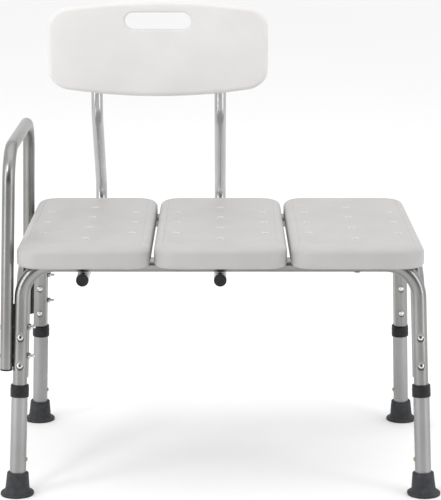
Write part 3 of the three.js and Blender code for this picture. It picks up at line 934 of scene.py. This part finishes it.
def drain_tool(x, y):
    profile = [
        (DRAIN_R, PANEL_LOW_Z - 0.005),
        (DRAIN_R, PANEL_TOP_Z - DRAIN_MOUTH_DEPTH),
        (DRAIN_MOUTH_R, PANEL_TOP_Z - 0.0001),
        (DRAIN_MOUTH_R, PANEL_TOP_Z + 0.001),
    ]
    return turned("tool", profile, Vector((x, y, 0)), (0, 0, 1), 28)


def paint_drain_highlight(mesh):
    """Marks the walls of the drain holes near the top of a panel, where a painted highlight makes the
    plastic lighter.
    """
    marks = mesh.attributes.new("drain_painted_highlight", "FLOAT", "FACE")
    for polygon, mark in zip(mesh.polygons, marks.data):
        middle = polygon.center
        far = min(math.hypot(middle.x - x, middle.y - y) for x, y in drain_places())
        sunk = middle.z < PANEL_TOP_Z - 0.0002 or abs(polygon.normal.z) < 0.98
        mark.value = 1.0 if far < DRAIN_MOUTH_R and sunk else 0.0


def rail_tool(sy, centre_x):
    """A solid bar along a rail, a little thicker than it."""
    path = bent_path(frame_corners(sy), [FRAME_BEND] * 2)
    rings = [circle(p, along, FRAME_R + 0.0006, 32, (0, 1, 0)) for p, along in path]
    shifted = [[point - Vector((centre_x, 0, 0)) for point in ring] for ring in rings]
    return stack("tool", shifted)


def build_seat():
    middle_y = Vector((0, (PANEL_REAR_Y + PANEL_FRONT_Y) / 2, 0))
    for i, side in enumerate(("left", "middle", "right")):
        centre_x = (i - 1) * PANEL_PITCH
        rings = []
        for inset, z in panel_rings():
            half_w = PANEL_WIDTH / 2 - inset
            half_d = (PANEL_REAR_Y - PANEL_FRONT_Y) / 2 - inset
            ring = box_outline(half_w, half_d, PANEL_CORNER - inset, z)
            rings.append([point + middle_y for point in ring])
        piece = stack(f"seat_panel_{side}_moulded", rings)
        tools = [drain_tool(x, y) for x, y in drain_places()]
        tools += [rail_tool(sy, centre_x) for sy in (-1, 1)]
        carve(piece, tools, 30)
        paint_drain_highlight(piece.data)
        piece.location.x = centre_x
        bpy.context.view_layer.update()
        finish_piece(piece, "bench", "white_plastic", [f"seat_panel_{side}"])


# ---------- backrest ----------
def bowed(point):
    """Bows the long edges of the backrest out at the middle, and its ends a little."""
    x, z = point.x, point.z
    tall = 1 - (x / REST_HALF_W) ** 2 * 0.205
    wide = 1 - (z / REST_HALF_H) ** 2 * 0.010
    return Vector((x * wide, point.y, z * tall))


def rest_outline(inset, y):
    flat = box_outline(REST_HALF_W - inset, REST_HALF_H - inset, REST_CORNER - inset * 0.9, 0, 16)
    ring = []
    count = len(flat)
    for i, point in enumerate(flat):
        ring.append(point)
        follower = flat[(i + 1) % count]
        gap = (follower - point).length
        extra = int(gap / 0.012)
        for k in range(1, extra):
            ring.append(point.lerp(follower, k / extra))
    return [REST_CENTRE + bowed(Vector((p.x, y, p.y))) for p in ring]


def slot_outline(grow, y):
    ring = []
    reach = SLOT_HALF_W - SLOT_R
    for sx in (1, -1):
        for i in range(17):
            turn = math.pi * i / 16 - math.pi / 2
            x = sx * (reach + (SLOT_R + grow) * math.cos(turn))
            z = sx * (SLOT_R + grow) * math.sin(turn)
            ring.append(Vector((REST_CENTRE.x + x, y, SLOT_Z + z)))
    return ring


def link_rings(bm, rings):
    """Adds rings to a mesh with quads between them; returns the rings' vertices."""
    rows = [[bm.verts.new(point) for point in ring] for ring in rings]
    for low, high in zip(rows, rows[1:]):
        for j in range(len(low)):
            k = (j + 1) % len(low)
            bm.faces.new((low[j], low[k], high[k], high[j]))
    return rows


def fill_between(bm, outer, inner):
    """Fills the flat ring between an outline and the slot inside it."""
    edges = []
    for row in (outer, inner):
        for j in range(len(row)):
            edges.append(bm.edges.get((row[j], row[(j + 1) % len(row)])))
    bmesh.ops.triangle_fill(bm, use_beauty=True, edges=edges)


def build_backrest():
    front = REST_FRONT_Y
    back = REST_FRONT_Y + REST_THICK
    roll = 0.010
    rear_roll = 0.008
    lip = 0.0045
    outer = []
    for i in range(9):
        turn = math.pi / 2 * i / 8
        inset = roll * (1 - math.sin(turn))
        outer.append(rest_outline(inset, front + roll * (1 - math.cos(turn))))
    for i in range(7):
        turn = math.pi / 2 * i / 6
        inset = rear_roll * (1 - math.cos(turn))
        outer.append(rest_outline(inset, back - rear_roll * (1 - math.sin(turn))))
    inner = []
    for i in range(7):
        turn = math.pi / 2 * i / 6
        inner.append(slot_outline(lip * (1 - math.sin(turn)), front + lip * (1 - math.cos(turn))))
    for i in range(7):
        turn = math.pi / 2 * i / 6
        inner.append(slot_outline(lip * (1 - math.cos(turn)), back - lip * (1 - math.sin(turn))))
    bm = bmesh.new()
    outer_rows = link_rings(bm, outer)
    inner_rows = link_rings(bm, inner)
    fill_between(bm, outer_rows[0], inner_rows[0])
    fill_between(bm, outer_rows[-1], inner_rows[-1])
    mesh = bpy.data.meshes.new("backrest_panel_moulded")
    bm.to_mesh(mesh)
    bm.free()
    piece = bpy.data.objects.new("backrest_panel_moulded", mesh)
    bpy.context.scene.collection.objects.link(piece)
    tidy(piece)
    tools = []
    for x in BACK_X.values():
        post = Vector((x, BACK_POST_Y, 0))
        tools.append(rod(post, (0, 0, 1), BACK_R + 0.0005, 0.60, BACK_TOP_Z + 0.004, 40))
    carve(piece, tools)
    # painted light: the backrest takes the lighter copy of the polyethylene
    finish_piece(piece, "bench", "white_plastic", ["backrest_panel"], "rest_plastic_painted_light")


def plug(name, at, outward, radius, flange, node=None):
    """A tube plug with a dished face."""
    stem = radius - WALL - 0.0004
    profile = [
        (0, -0.010),
        (stem, -0.010, 0.0008),
        (stem, 0.0003),
        (radius, 0.0003, 0.0004),
        (radius, 0.0003 + flange, 0.0014),
        (radius - 0.0026, 0.0003 + flange, 0.0006),
        (radius - 0.0042, flange - 0.0008, 0.0008),
        (0, flange - 0.0008),
    ]
    piece = turned(name, profile, at, outward, 48)
    finish_piece(piece, "bench", "black_plastic", [node] if node else [])


def build_back_tubes():
    for side, x in BACK_X.items():
        corners = [
            Vector((x, BACK_FRONT_Y, BACK_LOW_Z)),
            Vector((x, BACK_REAR_Y, BACK_LOW_Z)),
            Vector((x, BACK_REAR_Y, BACK_KNEE_Z)),
            Vector((x, BACK_POST_Y, BACK_POST_Z)),
            Vector((x, BACK_POST_Y, BACK_TOP_Z)),
        ]
        piece = tube(f"back_tube_{side}_round", corners, [BACK_BEND] * 3, BACK_R)
        finish_piece(piece, "bench", "aluminium_tube", [f"back_tube_{side}"], "back_aluminium")
        name = f"back_tube_front_plug_{side}"
        plug(name + "_moulded", corners[0], (0, -1, 0), BACK_R, 0.0022, name)
        plug(f"back_tube_top_cap_{side}", corners[-1], (0, 0, 1), BACK_R, 0.0022)


# ---------- arm rail ----------
def pad_outline(sy, leg, z, half):
    """The section of the pad at a height: two hollows that fit the tubes on each side."""
    post = arm_point(sy, z)
    upright = leg_point(leg, z)
    gap = 0.00025
    left = []
    right = []
    for i in range(9):
        y = half * (i / 4 - 1)
        left.append(Vector((post.x + math.sqrt((BACK_R + gap) ** 2 - y * y), post.y + y, z)))
        right.append(Vector((upright.x - math.sqrt((FRAME_R + gap) ** 2 - y * y), post.y + y, z)))
    for a, b in zip(left, right):
        if b.x - a.x < 0.0003:
            middle = (a.x + b.x) / 2
            a.x, b.x = middle - 0.00015, middle + 0.00015
    return left + list(reversed(right))


# The black pads fill the narrow gap between the arm tube and the leg. They stand partly for plastic spacers
# and partly for painted shade: their black takes the place of the dark crevice between the two tubes, and
# their notches at the bolts leave light gaps there.
def build_pads_and_crevice_shade():
    for word, sy in (("front", -1), ("rear", 1)):
        leg = f"{word}_left"
        rings = []
        count = 90
        notch = 0.0065
        for i in range(count + 1):
            z = PAD_LOW_Z + (PAD_TOP_Z - PAD_LOW_Z) * i / count
            near = min(abs(z - bolt) for bolt in ARM_BOLTS_Z.values())
            half = PAD_HALF_W
            if near < notch:
                half -= (PAD_HALF_W - 0.0010) * math.sqrt(1 - (near / notch) ** 2)
            end = min(z - PAD_LOW_Z, PAD_TOP_Z - z)
            half *= 1 - 0.35 * max(0, 1 - end / 0.003) ** 2
            rings.append(pad_outline(sy, leg, z, half))
        piece = stack(f"arm_pad_{word}_moulded", rings)
        finish_piece(piece, "bench", "black_plastic", [f"arm_pad_{word}"])


def build_arm():
    corners = [
        arm_point(-1, ARM_END_Z),
        arm_point(-1, ARM_TOP_Z),
        arm_point(1, ARM_TOP_Z),
        arm_point(1, ARM_END_Z),
    ]
    dimples = []
    for word, sy in (("front", -1), ("rear", 1)):
        for z in ARM_BOLTS_Z.values():
            outward = (arm_point(sy, z) - leg_point(f"{word}_left", z)).normalized()
            dimples.append((arm_point(sy, z), outward, ARM_DIMPLE_DEPTH, ARM_DIMPLE_R))
    piece = tube("arm_tube_round", corners, [ARM_BEND] * 2, BACK_R, dimples)
    finish_piece(piece, "bench", "aluminium_tube", ["arm_tube"])
    for word, sy in (("front", -1), ("rear", 1)):
        down = (arm_point(sy, ARM_END_Z) - arm_point(sy, ARM_TOP_Z)).normalized()
        name = f"arm_plug_{word}"
        plug(name + "_moulded", arm_point(sy, ARM_END_Z), down, BACK_R, 0.0025, name)
    build_pads_and_crevice_shade()


build_frame()
build_legs()
build_seat()
build_backrest()
build_back_tubes()
build_arm()
build_bolts()


# ---------- stage ----------
def build_floor():
    """A plain pale floor that reaches past the camera's view."""
    size = 40.0
    bm = bmesh.new()
    bmesh.ops.create_grid(bm, x_segments=8, y_segments=8, size=size)
    mesh = bpy.data.meshes.new("floor")
    bm.to_mesh(mesh)
    bm.free()
    floor = bpy.data.objects.new("floor", mesh)
    floor.location.z = -0.0002
    bpy.context.scene.collection.objects.link(floor)
    material, tree, shader = new_material("pale_floor", 0.0, 0.9)
    colour = ramp(tree, noise(tree, 0.6, 2), (0.94, 0.94, 0.94), (0.95, 0.95, 0.95))
    tree.links.new(colour, shader.inputs["Base Color"])
    floor.data.materials.append(material)


def area_light(name, place, target, size, power):
    light = bpy.data.lights.new(name, "AREA")
    light.shape = "RECTANGLE"
    light.size, light.size_y = size
    light.energy = power
    lamp = bpy.data.objects.new(name, light)
    lamp.location = place
    lamp.rotation_euler = (Vector(target) - Vector(place)).to_track_quat("-Z", "Y").to_euler()
    bpy.context.scene.collection.objects.link(lamp)


def build_world(level, front_level):
    """Even white light from all round, darker from the front, where a studio is dark."""
    world = bpy.data.worlds.new("studio")
    world.use_nodes = True
    tree = world.node_tree
    coordinates = tree.nodes.new("ShaderNodeTexCoord")
    split = tree.nodes.new("ShaderNodeSeparateXYZ")
    spread = tree.nodes.new("ShaderNodeMapRange")
    spread.interpolation_type = "SMOOTHSTEP"
    for name, value in (("From Min", -1), ("From Max", -0.45), ("To Min", front_level), ("To Max", level)):
        spread.inputs[name].default_value = value
    tree.links.new(coordinates.outputs["Generated"], split.inputs["Vector"])
    tree.links.new(split.outputs["Y"], spread.inputs["Value"])
    tree.links.new(spread.outputs["Result"], tree.nodes["Background"].inputs["Strength"])
    tree.nodes["Background"].inputs["Color"].default_value = (1, 1, 1, 1)
    bpy.context.scene.world = world
    bpy.context.scene.view_settings.view_transform = "Standard"


CAMERA_BACK = 3.6933
CAMERA_UP = 1.1646
CAMERA_PITCH = math.radians(11.80)
CAMERA_LENS = 167.0


def build_camera():
    data = bpy.data.cameras.new("camera")
    data.sensor_fit = "HORIZONTAL"
    data.sensor_width = 36
    data.lens = CAMERA_LENS
    data.clip_end = 200
    camera = bpy.data.objects.new("camera", data)
    camera.location = MIDDLE + Vector((0, -CAMERA_BACK, CAMERA_UP))
    camera.rotation_euler = (math.pi / 2 - CAMERA_PITCH, 0, 0)
    bpy.context.scene.collection.objects.link(camera)
    bpy.context.scene.camera = camera


build_floor()
build_world(1.06, 0.10)
area_light("left_softbox", (-2.2, -1.6, 1.2), (0, 0, 0.4), (0.7, 2.2), 18)
area_light("right_softbox", (2.2, -1.5, 1.0), (0, 0, 0.4), (0.7, 2.0), 12)
area_light("overhead", (0.2, 0.3, 3.4), (0, 0.2, 0), (4.0, 4.0), 32)
area_light("key", (-1.35, -2.3, 2.5), (-0.2, 0, 0.4), (0.45, 0.45), 16)
build_camera()

bpy.context.view_layer.update()
